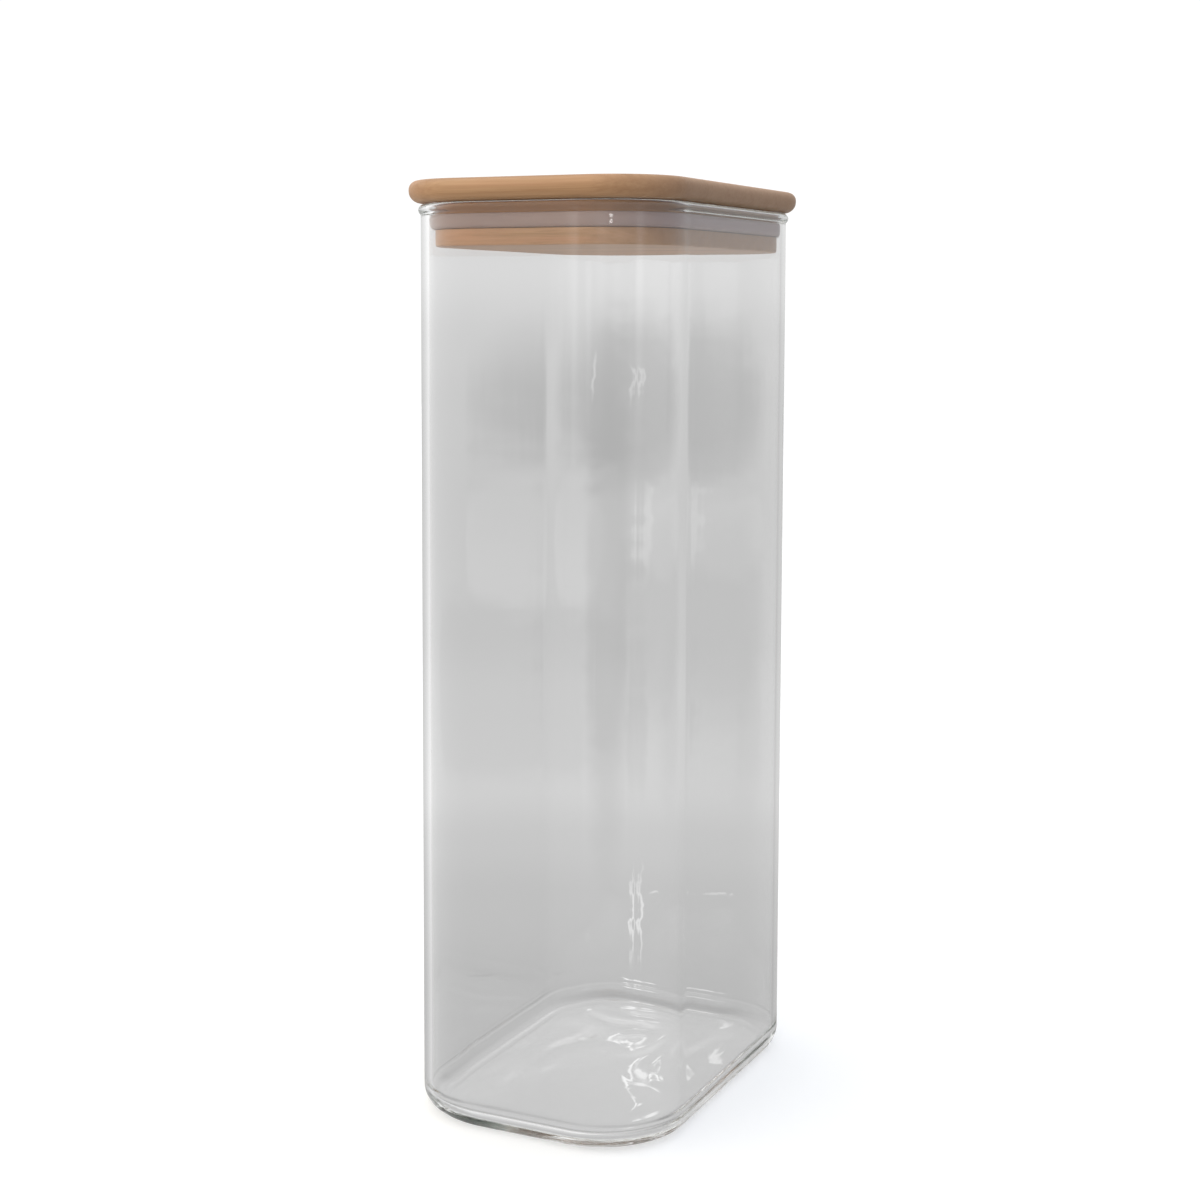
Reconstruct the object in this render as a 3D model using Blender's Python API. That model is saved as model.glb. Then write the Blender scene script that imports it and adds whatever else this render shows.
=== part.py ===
"""Pantry jar: a tall, thin-walled glass jar closed by a bamboo lid with a silicone seal.

The jar is a rounded rectangle in plan. X runs across its narrow side, Y across its deep side and
+Z is up. The origin is the centre of the foot, on the surface that the jar stands on. The lid
lifts straight up along Z, so its pieces hang from an empty on that axis, level with the rim.
All lengths are in metres.
"""
import math

import bmesh
import bpy

# Glass jar
JAR_WIDTH = 0.0906          # outer width of the walls, along X
JAR_DEPTH = 0.1323          # outer depth of the walls, along Y
JAR_HEIGHT = 0.2928         # from the foot to the top of the rim
GLASS_WALL = 0.0024
WALL_CORNER = 0.0272        # outer radius of the upright corners, in plan
FLOOR_THICKNESS = 0.0030
BASE_EDGE_INSET = 0.0052    # how far the wall draws in to the foot
BASE_EDGE_HEIGHT = 0.0070   # the height over which it does so
FLOOR_EDGE_HEIGHT = 0.0045  # the same on the inner face, measured from the floor
FOOT_CORNER = 0.0269        # outer radius of the foot's corners
FOOT_RING_WIDTH = 0.0045    # flat ring that the jar stands on
PUSH_UP = 0.0015            # rise of the floor towards its middle
BEAD_HEIGHT = 0.0036        # fire-polished bead round the rim
BEAD_PROUD = 0.0008         # how far the bead stands out from the wall
WALL_EASE = 0.0020          # plain strip of wall beside the bead and the base edge

# Bamboo lid
LID_OVERHANG = 0.0018       # how far the cap reaches past the walls' flat sides
CAP_CORNER = 0.0237         # outer radius of the cap's corners, sharper than the walls' own
CAP_THICKNESS = 0.0069
CAP_TOP_ROUND_SHARE = 0.40      # of the cap's thickness
CAP_BOTTOM_ROUND_SHARE = 0.54   # of the cap's thickness
NECK_HEIGHT = 0.0035        # plug above the seal's groove
GROOVE_HEIGHT = 0.0050
GROOVE_DEPTH = 0.0025
FLANGE_HEIGHT = 0.0052      # plug below the seal's groove
FLANGE_ROUND = 0.0008       # eased lower edge of the plug
PLUG_CLEARANCE = 0.00224    # between the plug and the inside of the wall
PLUG_CORNER_SHARE = 0.83    # of the walls' outer corner radius
CAP_STAVES = 7
PLUG_STAVES = 6

# Silicone seal
SEAL_WIDEST_SHARE = 0.60    # height of its widest line, as a share of its own height

# Gaps that keep touching pieces apart
RIM_GAP = 0.0003            # under the cap, above the rim
GLUE_GAP = 0.0003           # glue line between two staves, and between the two boards
SEAL_FIT = 0.0003           # round the seal in its groove
SEAL_WALL_GAP = 0.0003      # between the seal's lip and the glass

# Fineness of the curves
CORNER_STEPS = 10
EDGE_STEPS = 6
BEAD_STEPS = 8
DOME_STEPS = 5
ROUND_STEPS = 5
LIP_STEPS = 10
CORNER_LIMIT_SHARE = 0.96   # largest corner radius, as a share of the half width
SHARP_ANGLE = math.radians(40)
QUARTER_TURN = math.radians(90)

# Colours, linear red, green and blue
GLASS_COLOUR = (0.90, 0.92, 0.92, 1.0)
BAMBOO_COLOUR = (0.49, 0.27, 0.135, 1.0)
SEAL_COLOUR = (0.36, 0.30, 0.28, 1.0)
STAVE_TONE_SHARES = (1.00, 0.93, 1.06, 0.97, 1.03, 0.91, 1.05)

# Worked out from the sizes above
HALF_WIDTH = JAR_WIDTH / 2
HALF_DEPTH = JAR_DEPTH / 2
PLUG_INSET = GLASS_WALL + PLUG_CLEARANCE
PLUG_CORNER = WALL_CORNER * PLUG_CORNER_SHARE


def outline(inset, corner, height):
    """One rounded rectangle, drawn in from the outside of the walls by inset."""
    return (HALF_WIDTH - inset, HALF_DEPTH - inset, corner, height)


def blend(start, end, share):
    """The value that lies a share of the way from start to end."""
    return start + (end - start) * share


def ring_points(half_width, half_depth, corner, height):
    """Points of a rounded rectangle, quarter by quarter and counter-clockwise from above."""
    radius = min(corner, CORNER_LIMIT_SHARE * min(half_width, half_depth))
    points = []
    for quarter in range(4):
        middle = (quarter + 0.5) * QUARTER_TURN
        centre_x = math.copysign(half_width - radius, math.cos(middle))
        centre_y = math.copysign(half_depth - radius, math.sin(middle))
        for step in range(CORNER_STEPS + 1):
            angle = (quarter + step / CORNER_STEPS) * QUARTER_TURN
            x = centre_x + radius * math.cos(angle)
            y = centre_y + radius * math.sin(angle)
            points.append((x, y, height))
    return points


def skin(bm, lower, upper):
    """Join two rings of vertices by a band of faces."""
    for index in range(len(lower)):
        bm.faces.new((lower[index - 1], lower[index], upper[index], upper[index - 1]))


def loft(rings, endless=False):
    """Skin a row of rings into a closed body, by caps at its ends or by joining them."""
    bm = bmesh.new()
    loops = [[bm.verts.new(point) for point in ring_points(*ring)] for ring in rings]
    for lower, upper in zip(loops, loops[1:]):
        skin(bm, lower, upper)
    if endless:
        skin(bm, loops[-1], loops[0])
    else:
        bmesh.ops.contextual_create(bm, geom=loops[0])
        bmesh.ops.contextual_create(bm, geom=loops[-1])
    bmesh.ops.recalc_face_normals(bm, faces=bm.faces)
    return bm


def base_edge(inset, corner_change, bottom, top):
    """Rings of the rounded edge between the floor and a wall face, from the foot upwards."""
    rings = []
    for step in range(EDGE_STEPS + 1):
        angle = QUARTER_TURN * step / EDGE_STEPS
        drawn_in = BASE_EDGE_INSET * (1 - math.sin(angle))
        height = blend(bottom, top, 1 - math.cos(angle))
        corner = blend(FOOT_CORNER, WALL_CORNER, math.sin(angle)) - corner_change
        rings.append(outline(inset + drawn_in, corner, height))
    return rings


def floor_rings(height):
    """Rings of the floor's gentle rise, from the foot ring's inner edge to the middle."""
    inset = BASE_EDGE_INSET + FOOT_RING_WIDTH
    half_width, half_depth, corner, _ = outline(inset, FOOT_CORNER - FOOT_RING_WIDTH, height)
    rings = []
    for step in range(DOME_STEPS):
        share = 1 - step / DOME_STEPS
        rise = PUSH_UP * (1 - share ** 2) ** 2
        rings.append((half_width * share, half_depth * share, corner * share, height + rise))
    return rings


def rim_rings():
    """Rings over the bead: up its outer side, over the top and down to the wall's inner face."""
    half_wall = GLASS_WALL / 2
    outer_reach = half_wall + BEAD_PROUD
    middle = JAR_HEIGHT - BEAD_HEIGHT / 2
    start = -math.acos(half_wall / outer_reach)
    rings = []
    for step in range(BEAD_STEPS + 1):
        angle = blend(start, 2 * QUARTER_TURN, step / BEAD_STEPS)
        reach = outer_reach if math.cos(angle) > 0 else half_wall
        inset = half_wall - reach * math.cos(angle)
        height = middle + BEAD_HEIGHT / 2 * math.sin(angle)
        rings.append(outline(inset, WALL_CORNER - inset, height))
    return rings


def wall_rings(inset, edge_top):
    """Two rings that mark off the tall flat wall, so that it is shaded flat between them."""
    corner = WALL_CORNER - inset
    top = JAR_HEIGHT - BEAD_HEIGHT - WALL_EASE
    return [outline(inset, corner, edge_top + WALL_EASE), outline(inset, corner, top)]


def make_jar():
    """The glass: underside, base edge, outer wall, rim bead, inner wall and inner floor."""
    underside = floor_rings(0)
    outside = base_edge(0, 0, 0, BASE_EDGE_HEIGHT) + wall_rings(0, BASE_EDGE_HEIGHT)
    floor_edge_top = FLOOR_THICKNESS + FLOOR_EDGE_HEIGHT
    inside = base_edge(GLASS_WALL, GLASS_WALL, FLOOR_THICKNESS, floor_edge_top)
    inside += wall_rings(GLASS_WALL, floor_edge_top)
    floor = floor_rings(FLOOR_THICKNESS)
    return loft(underside[::-1] + outside + rim_rings() + inside[::-1] + floor)


def cap_outline(drawn_in, height):
    """One ring of the cap, drawn in from its own side."""
    return outline(drawn_in - LID_OVERHANG, CAP_CORNER - drawn_in, height)


def make_cap_board():
    """The cap with its round edge, in the lid's frame, where height 0 is the top of the rim."""
    top_round = CAP_THICKNESS * CAP_TOP_ROUND_SHARE
    bottom_round = CAP_THICKNESS * CAP_BOTTOM_ROUND_SHARE
    top = RIM_GAP + CAP_THICKNESS
    rings = []
    for step in range(ROUND_STEPS + 1):
        angle = QUARTER_TURN * step / ROUND_STEPS
        drawn_in = bottom_round * (1 - math.sin(angle))
        rings.append(cap_outline(drawn_in, RIM_GAP + bottom_round * (1 - math.cos(angle))))
    for step in range(ROUND_STEPS + 1):
        angle = QUARTER_TURN * step / ROUND_STEPS
        drawn_in = top_round * (1 - math.cos(angle))
        rings.append(cap_outline(drawn_in, top - top_round * (1 - math.sin(angle))))
    return loft(rings)


def plug_heights():
    """Heights of the plug in the lid's frame: its top, the groove's two sides and its bottom."""
    top = RIM_GAP - GLUE_GAP
    groove_top = RIM_GAP - NECK_HEIGHT
    groove_bottom = groove_top - GROOVE_HEIGHT
    return top, groove_top, groove_bottom, groove_bottom - FLANGE_HEIGHT


def plug_outline(drawn_in, height):
    """One ring of the plug, drawn in from its own side."""
    return outline(PLUG_INSET + drawn_in, PLUG_CORNER - drawn_in, height)


def make_plug_board():
    """The plug: flange with an eased lower edge, groove for the seal, and neck."""
    top, groove_top, groove_bottom, bottom = plug_heights()
    rings = []
    for step in range(ROUND_STEPS + 1):
        angle = QUARTER_TURN * step / ROUND_STEPS
        drawn_in = FLANGE_ROUND * (1 - math.sin(angle))
        rings.append(plug_outline(drawn_in, bottom + FLANGE_ROUND * (1 - math.cos(angle))))
    rings.append(plug_outline(0, groove_bottom))
    rings.append(plug_outline(GROOVE_DEPTH, groove_bottom))
    rings.append(plug_outline(GROOVE_DEPTH, groove_top))
    rings.append(plug_outline(0, groove_top))
    rings.append(plug_outline(0, top))
    return loft(rings)


def seal_ring(reach, height):
    """One ring of the seal's lip: reach 0 is the plug's side, and reach 1 is next to the glass."""
    lip_inset = GLASS_WALL + SEAL_WALL_GAP
    lip_corner = WALL_CORNER - lip_inset
    inset = blend(PLUG_INSET, lip_inset, reach)
    return outline(inset, blend(PLUG_CORNER, lip_corner, reach), height)


def make_seal():
    """The seal: a band that fills the groove, with a rounded lip that reaches for the glass."""
    _, groove_top, groove_bottom, _ = plug_heights()
    bottom = groove_bottom + SEAL_FIT
    top = groove_top - SEAL_FIT
    widest = blend(bottom, top, SEAL_WIDEST_SHARE)
    rings = [plug_outline(GROOVE_DEPTH - SEAL_FIT, bottom)]
    for step in range(LIP_STEPS + 1):
        angle = blend(-QUARTER_TURN, QUARTER_TURN, step / LIP_STEPS)
        side = bottom if angle < 0 else top
        rings.append(seal_ring(math.cos(angle), blend(widest, side, abs(math.sin(angle)))))
    rings.append(plug_outline(GROOVE_DEPTH - SEAL_FIT, top))
    return loft(rings, endless=True)


def trim(bm, place, side):
    """Saw the board across at a Y place, drop what lies on the given side and close the cut."""
    geometry = bm.verts[:] + bm.edges[:] + bm.faces[:]
    cut = bmesh.ops.bisect_plane(
        bm, geom=geometry, plane_co=(0, place, 0), plane_no=(0, side, 0), clear_outer=True
    )
    edges = [item for item in cut["geom_cut"] if isinstance(item, bmesh.types.BMEdge)]
    bmesh.ops.contextual_create(bm, geom=edges)
    bmesh.ops.recalc_face_normals(bm, faces=bm.faces)


def add_staves(name, board, depth, count, parent):
    """Part a board into staves that run along X, with a glue line between neighbours."""
    for index in range(count):
        stave = board.copy()
        if index > 0:
            trim(stave, depth * (index / count - 0.5) + GLUE_GAP / 2, -1)
        if index < count - 1:
            trim(stave, depth * ((index + 1) / count - 0.5) - GLUE_GAP / 2, 1)
        stave_name = f"{name}_{index + 1}"
        tone = STAVE_TONE_SHARES[index % len(STAVE_TONE_SHARES)]
        colour = tuple(channel * tone for channel in BAMBOO_COLOUR[:3]) + BAMBOO_COLOUR[3:]
        add_part(stave_name, stave, make_material(stave_name, colour, 0.55), parent)
    board.free()


def make_material(name, colour, roughness, transmission=0.0):
    """A plain surface finish for one piece."""
    material = bpy.data.materials.new(name)
    material.use_nodes = True
    shader = material.node_tree.nodes["Principled BSDF"]
    shader.inputs["Base Color"].default_value = colour
    shader.inputs["Roughness"].default_value = roughness
    shader.inputs["Metallic"].default_value = 0.0
    shader.inputs["Transmission Weight"].default_value = transmission
    return material


def add_part(name, bm, material, parent=None):
    """Turn a finished mesh into the named object of one piece."""
    mesh = bpy.data.meshes.new(name)
    bm.to_mesh(mesh)
    bm.free()
    mesh.materials.append(material)
    mesh.shade_smooth()
    mesh.set_sharp_from_angle(angle=SHARP_ANGLE)
    part = bpy.data.objects.new(name, mesh)
    part.parent = parent
    bpy.context.collection.objects.link(part)
    return part


def main():
    for old in list(bpy.data.objects):
        bpy.data.objects.remove(old)
    lid_axis = bpy.data.objects.new("lid_axis", None)
    lid_axis.location = (0, 0, JAR_HEIGHT)
    bpy.context.collection.objects.link(lid_axis)

    add_part("glass_jar", make_jar(), make_material("glass_jar", GLASS_COLOUR, 0.02, 1.0))
    cap_depth = JAR_DEPTH + 2 * LID_OVERHANG
    add_staves("cap_stave", make_cap_board(), cap_depth, CAP_STAVES, lid_axis)
    plug_depth = JAR_DEPTH - 2 * PLUG_INSET
    add_staves("plug_stave", make_plug_board(), plug_depth, PLUG_STAVES, lid_axis)
    seal_finish = make_material("silicone_seal", SEAL_COLOUR, 0.45, 0.25)
    add_part("silicone_seal", make_seal(), seal_finish, lid_axis)


main()
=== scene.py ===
"""Looks of the pantry jar: blown glass, bamboo cap and plug boards, and the silicone seal.

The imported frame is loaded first. Each operator then builds one kind of piece in the frame's own
axes, with +Z up and the origin under the middle of the jar. All lengths are in metres.
"""

import math

import bmesh
import bpy
from bpy.props import FloatProperty, FloatVectorProperty, IntProperty, PointerProperty
from mathutils import Matrix, Vector, noise


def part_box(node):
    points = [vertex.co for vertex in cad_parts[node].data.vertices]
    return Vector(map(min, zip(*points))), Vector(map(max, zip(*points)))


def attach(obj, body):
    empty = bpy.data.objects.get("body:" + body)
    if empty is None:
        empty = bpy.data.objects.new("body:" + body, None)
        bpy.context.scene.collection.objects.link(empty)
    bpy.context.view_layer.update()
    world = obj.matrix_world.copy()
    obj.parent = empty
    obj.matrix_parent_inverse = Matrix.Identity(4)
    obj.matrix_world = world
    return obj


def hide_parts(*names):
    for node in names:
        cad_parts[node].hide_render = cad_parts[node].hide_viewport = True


bl_info = {
    "name": "Pantry Jar",
    "version": (1, 0, 0),
    "blender": (4, 5, 0),
    "location": "3D View > Sidebar > Pantry Jar",
    "description": "Builds a rectangular glass pantry jar with a bamboo stopper lid",
    "category": "Add Mesh",
}

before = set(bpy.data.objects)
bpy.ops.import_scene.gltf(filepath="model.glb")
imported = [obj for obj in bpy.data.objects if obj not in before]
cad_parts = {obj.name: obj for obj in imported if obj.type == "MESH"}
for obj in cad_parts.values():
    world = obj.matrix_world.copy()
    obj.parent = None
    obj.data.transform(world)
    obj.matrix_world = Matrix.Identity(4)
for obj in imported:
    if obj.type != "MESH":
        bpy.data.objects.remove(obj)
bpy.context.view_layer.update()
JAR_LOW, JAR_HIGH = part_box("glass_jar")
CAP_LOW, CAP_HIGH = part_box("cap_stave_1")

QUARTER = math.radians(90)
BEAD_PROUD = 0.0008


# Sizes and colours that a user would change


class GlassSettings(bpy.types.PropertyGroup):
    """Sizes and tint of the glass."""

    width: FloatProperty(
        name="Width", description="Outer width of the walls, along X", unit="LENGTH",
        default=JAR_HIGH.x - JAR_LOW.x - 2 * BEAD_PROUD, min=0.03,
    )
    depth: FloatProperty(
        name="Depth", description="Outer depth of the walls, along Y", unit="LENGTH",
        default=JAR_HIGH.y - JAR_LOW.y - 2 * BEAD_PROUD, min=0.03,
    )
    height: FloatProperty(
        name="Height", description="From the foot to the top of the rim", unit="LENGTH",
        default=JAR_HIGH.z, min=0.05,
    )
    wall: FloatProperty(
        name="Wall", description="Thickness of the walls", unit="LENGTH", default=0.0024,
        min=0.001,
    )
    corner: FloatProperty(
        name="Corner", description="Outer radius of the upright corners", unit="LENGTH",
        default=0.0272,
    )
    floor: FloatProperty(
        name="Floor", description="Thickness of the floor", unit="LENGTH", default=0.0030,
    )
    foot_corner: FloatProperty(
        name="Foot corner", description="Outer radius of the foot's corners", unit="LENGTH",
        default=0.0269,
    )
    foot_width: FloatProperty(
        name="Foot width", description="Width of the ring that the jar stands on",
        unit="LENGTH", default=0.0045,
    )
    edge_inset: FloatProperty(
        name="Base inset", description="How far the wall draws in to the foot", unit="LENGTH",
        default=0.0052,
    )
    edge_height: FloatProperty(
        name="Base height", description="Height over which the wall draws in", unit="LENGTH",
        default=0.0070,
    )
    floor_edge_height: FloatProperty(
        name="Inner edge", description="Height of the inner face's round edge over the floor",
        unit="LENGTH", default=0.0045,
    )
    push_up: FloatProperty(
        name="Push-up", description="Rise of the floor towards its middle", unit="LENGTH",
        default=0.0015,
    )
    bead_height: FloatProperty(
        name="Rim bead", description="Height of the fire-polished bead", unit="LENGTH",
        default=0.0036,
    )
    wave: FloatProperty(
        name="Wave", description="How far the blown walls stray from flat", unit="LENGTH",
        default=0.00010,
    )
    ripple: FloatProperty(
        name="Floor ripple", description="Height of the ripples in the floor", unit="LENGTH",
        default=0.00035,
    )
    heel: FloatProperty(
        name="Heel", description="Swelling of the inner face above the base edge",
        unit="LENGTH", default=0.00026,
    )
    colour: FloatVectorProperty(
        name="Glass", description="Tint of the glass", subtype="COLOR", size=4,
        default=(0.99, 0.99, 0.99, 1.0), min=0, max=1,
    )
    depth_colour: FloatVectorProperty(
        name="Deep glass", description="Tint that a long way through the glass gives",
        subtype="COLOR", size=4, default=(0.80, 0.86, 0.82, 1.0), min=0, max=1,
    )


class LidSettings(bpy.types.PropertyGroup):
    """Sizes and colours of the bamboo boards."""

    overhang: FloatProperty(
        name="Overhang", description="How far the cap reaches past the walls", unit="LENGTH",
        default=0.0018,
    )
    cap_corner: FloatProperty(
        name="Cap corner", description="Outer radius of the cap's corners", unit="LENGTH",
        default=0.0237,
    )
    cap_thickness: FloatProperty(
        name="Cap", description="Thickness of the cap", unit="LENGTH",
        default=CAP_HIGH.z - CAP_LOW.z,
    )
    clearance: FloatProperty(
        name="Clearance", description="Between the plug and the inside of the wall",
        unit="LENGTH", default=0.00224,
    )
    plug_corner: FloatProperty(
        name="Plug corner", description="Outer radius of the plug's corners", unit="LENGTH",
        default=0.0226,
    )
    neck: FloatProperty(
        name="Neck", description="Height of the plug above the seal", unit="LENGTH",
        default=0.0035,
    )
    groove_height: FloatProperty(
        name="Groove", description="Height of the seal's groove", unit="LENGTH",
        default=0.0050,
    )
    groove_depth: FloatProperty(
        name="Groove depth", description="Depth of the seal's groove", unit="LENGTH",
        default=0.0025,
    )
    flange: FloatProperty(
        name="Flange", description="Height of the plug below the seal", unit="LENGTH",
        default=0.0052,
    )
    flange_round: FloatProperty(
        name="Flange edge", description="Radius of the plug's lower edge", unit="LENGTH",
        default=0.0008,
    )
    rest_gap: FloatProperty(
        name="Rest gap", description="Under the cap, and between two pieces", unit="LENGTH",
        default=0.0003,
    )
    hairline: FloatProperty(
        name="Hairline", description="Glue line between two staves", unit="LENGTH",
        default=0.00001,
    )
    cap_staves: IntProperty(
        name="Cap staves", description="Strips in the cap board", default=7, min=1,
    )
    plug_staves: IntProperty(
        name="Plug staves", description="Strips in the plug board", default=6, min=1,
    )
    light: FloatVectorProperty(
        name="Light fibres", description="Colour of the pale fibres", subtype="COLOR",
        size=4, default=(0.62, 0.372, 0.201, 1.0), min=0, max=1,
    )
    dark: FloatVectorProperty(
        name="Dark fibres", description="Colour of the dark fibres", subtype="COLOR", size=4,
        default=(0.37, 0.184, 0.081, 1.0), min=0, max=1,
    )
    ruddy: FloatVectorProperty(
        name="Ruddy streaks", description="Colour of the broad ruddy streaks", subtype="COLOR",
        size=4, default=(0.60, 0.290, 0.160, 1.0), min=0, max=1,
    )
    # Painted light: the plug's colours are made paler than the cap's so that it looks as bright,
    # though it gets less light under the cap and behind the glass.
    plug_painted_light: FloatProperty(
        name="Plug paleness", description="How much paler the unoiled plug is than the cap",
        default=1.34,
    )


class SealSettings(bpy.types.PropertyGroup):
    """Shape and colour of the silicone seal."""

    widest: FloatProperty(
        name="Widest line", description="Its height, as a share of the seal's own",
        subtype="FACTOR", default=0.60, min=0.1, max=0.9,
    )
    colour: FloatVectorProperty(
        name="Silicone", description="Colour of the frosted silicone", subtype="COLOR",
        size=4, default=(0.485, 0.352, 0.311, 1.0), min=0, max=1,
    )


class StageSettings(bpy.types.PropertyGroup):
    """Floor and light."""

    floor_size: FloatProperty(
        name="Floor", description="Side of the square floor", unit="LENGTH", default=8.0,
    )
    floor_colour: FloatVectorProperty(
        name="Floor colour", description="Colour of the pale floor", subtype="COLOR", size=4,
        default=(0.86, 0.86, 0.86, 1.0), min=0, max=1,
    )
    floor_glow: FloatProperty(
        name="Floor glow", description="Light that the floor gives of itself", default=0.30,
    )
    left: FloatVectorProperty(
        name="Left", description="Light that falls on the jar from the left", subtype="COLOR",
        size=4, default=(1.02, 0.94, 0.76, 1.0), min=0,
    )
    right: FloatVectorProperty(
        name="Right", description="Light that falls on the jar from the right",
        subtype="COLOR", size=4, default=(0.25, 0.34, 0.52, 1.0), min=0,
    )
    key: FloatProperty(
        name="Key light", description="Power of the large light at the front left",
        unit="POWER", default=3.0,
    )
    top: FloatProperty(
        name="Top light", description="Strength of the broad light overhead", default=0.6,
    )
    bounce: FloatProperty(
        name="Bounce", description="Power of the light that comes up through the jar",
        unit="POWER", default=0.035,
    )


# Shared mesh steps

CORNER_STEPS = 24
WIDTH_STEPS = 16
DEPTH_STEPS = 32
START_RADIUS = 0.5
WELD = 1e-7


def start_loop(bm, corner_steps, width_steps, depth_steps):
    """Wire loop of a rounded square, with the corner centre and outward way of each vertex."""
    made = bmesh.ops.create_grid(bm, x_segments=1, y_segments=1, size=1)
    bmesh.ops.bevel(
        bm, geom=made["verts"], offset=START_RADIUS, segments=corner_steps, profile=0.5,
        affect="VERTICES", material=-1,
    )
    bmesh.ops.delete(bm, geom=bm.faces[:], context="FACES_ONLY")
    straight = [edge for edge in bm.edges if edge.calc_length() > START_RADIUS]
    across = [
        edge for edge in straight
        if abs(edge.verts[0].co.x - edge.verts[1].co.x) > START_RADIUS
    ]
    along = [edge for edge in straight if edge not in across]
    bmesh.ops.subdivide_edges(bm, edges=across, cuts=width_steps - 1)
    bmesh.ops.subdivide_edges(bm, edges=along, cuts=depth_steps - 1)
    bm.verts.ensure_lookup_table()
    loop = [bm.verts[0]]
    edge = bm.verts[0].link_edges[0]
    while edge.other_vert(loop[-1]) is not loop[0]:
        loop.append(edge.other_vert(loop[-1]))
        edge = next(other for other in loop[-1].link_edges if other is not edge)
    if sum(a.co.x * b.co.y - b.co.x * a.co.y for a, b in zip(loop, loop[1:])) < 0:
        loop.reverse()
    ways = []
    for vert in loop:
        reach = 1 - START_RADIUS
        middle = Vector((
            max(-reach, min(reach, vert.co.x)), max(-reach, min(reach, vert.co.y))
        ))
        way = (vert.co.xy - middle).normalized()
        ways.append((middle / reach, way))
    return loop, ways


def place(loop, ways, ring):
    """Move a loop's vertices to a ring: half width, half depth, corner radius and height."""
    half_width, half_depth, corner, height = ring
    for vert, (middle, way) in zip(loop, ways):
        vert.co = (
            middle.x * (half_width - corner) + way.x * corner,
            middle.y * (half_depth - corner) + way.y * corner,
            height,
        )


def extrude_loop(bm, loop):
    """Extrude a closed loop of edges, and give the new loop in the same order."""
    edges = [bm.edges.get((loop[index - 1], loop[index])) for index in range(len(loop))]
    made = bmesh.ops.extrude_edge_only(bm, edges=edges)
    fresh = {item for item in made["geom"] if isinstance(item, bmesh.types.BMVert)}
    return [
        next(edge.other_vert(vert) for edge in vert.link_edges if edge.other_vert(vert) in fresh)
        for vert in loop
    ]


def loft(rings, corner_steps=CORNER_STEPS, width_steps=1, depth_steps=1, closed=True):
    """A body skinned over a row of rings. Returns its bmesh, its loops and their ways."""
    bm = bmesh.new()
    loop, ways = start_loop(bm, corner_steps, width_steps, depth_steps)
    place(loop, ways, rings[0])
    loops = [loop]
    for ring in rings[1:]:
        loop = extrude_loop(bm, loop)
        place(loop, ways, ring)
        loops.append(loop)
    if closed:
        bmesh.ops.contextual_create(bm, geom=loops[0])
        bmesh.ops.contextual_create(bm, geom=loops[-1])
    else:
        bmesh.ops.remove_doubles(bm, verts=bm.verts[:], dist=WELD)
    bmesh.ops.recalc_face_normals(bm, faces=bm.faces[:])
    return bm, loops, ways


def mix(start, end, share):
    """The value that lies a share of the way from start to end."""
    return start + (end - start) * share


def add_piece(name, bm, material, body, slot, *cad_nodes, sharp=None):
    """Make the named object of a finished mesh and hang it on its body of the frame."""
    mesh = bpy.data.meshes.new(name)
    bm.to_mesh(mesh)
    bm.free()
    mesh.materials.append(material)
    mesh.shade_smooth()
    if sharp is not None:
        mesh.set_sharp_from_angle(angle=sharp)
    piece = bpy.data.objects.new(name, mesh)
    bpy.context.scene.collection.objects.link(piece)
    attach(piece, body)
    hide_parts(*cad_nodes)
    return piece


# Shared material steps


def new_material(name):
    """A material with its tree, its surface shader and its output."""
    material = bpy.data.materials.new(name)
    material.use_nodes = True
    tree = material.node_tree
    return material, tree, tree.nodes["Principled BSDF"], tree.nodes["Material Output"]


def feed(tree, node, inputs):
    """Link or set the inputs of a node, which are given by name or by number."""
    for key, value in inputs.items():
        if isinstance(value, bpy.types.NodeSocket):
            tree.links.new(value, node.inputs[key])
        else:
            node.inputs[key].default_value = value


def add_node(tree, kind, **values):
    """A node with its properties and inputs set."""
    node = tree.nodes.new(kind)
    inputs = values.pop("inputs", {})
    for key, value in values.items():
        setattr(node, key, value)
    feed(tree, node, inputs)
    return node


def math_node(tree, operation, *values, clamp=False):
    """The output of a Math node."""
    return add_node(
        tree, "ShaderNodeMath", operation=operation, use_clamp=clamp,
        inputs=dict(enumerate(values)),
    ).outputs[0]


def dot(tree, first, second):
    """The output of a dot product of two directions."""
    return add_node(
        tree, "ShaderNodeVectorMath", operation="DOT_PRODUCT", inputs={0: first, 1: second}
    ).outputs["Value"]


def mixed_colour(tree, factor, first, second, blend="MIX"):
    """The output of a Mix node for colours."""
    node = add_node(tree, "ShaderNodeMix", data_type="RGBA", blend_type=blend)
    feed(tree, node, {0: factor, 6: first, 7: second})
    return node.outputs[2]


def scaled(colour, gain):
    """A colour made lighter or darker by a factor."""
    return tuple(min(1.0, gain * channel) for channel in colour[:3]) + (1.0,)


def stretched_noise(tree, place_socket, scale, **inputs):
    """Noise on a place or a direction, scaled apart along X, Y and Z."""
    mapping = add_node(
        tree, "ShaderNodeMapping", inputs={"Vector": place_socket, "Scale": scale}
    )
    values = {"Vector": mapping.outputs[0], "Scale": 1.0}
    values.update(inputs)
    return add_node(tree, "ShaderNodeTexNoise", inputs=values).outputs[0]


def ramp(tree, factor, *stops, interpolation="LINEAR"):
    """A colour ramp through the given stops: each a place and a grey or a colour."""
    node = add_node(tree, "ShaderNodeValToRGB", inputs={0: factor})
    node.color_ramp.interpolation = interpolation
    elements = node.color_ramp.elements
    while len(elements) < len(stops):
        elements.new(0.5)
    for element, (where, colour) in zip(elements, stops):
        element.position = where
        if isinstance(colour, (int, float)):
            colour = (colour, colour, colour, 1)
        element.color = colour
    return node.outputs[0]


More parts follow.
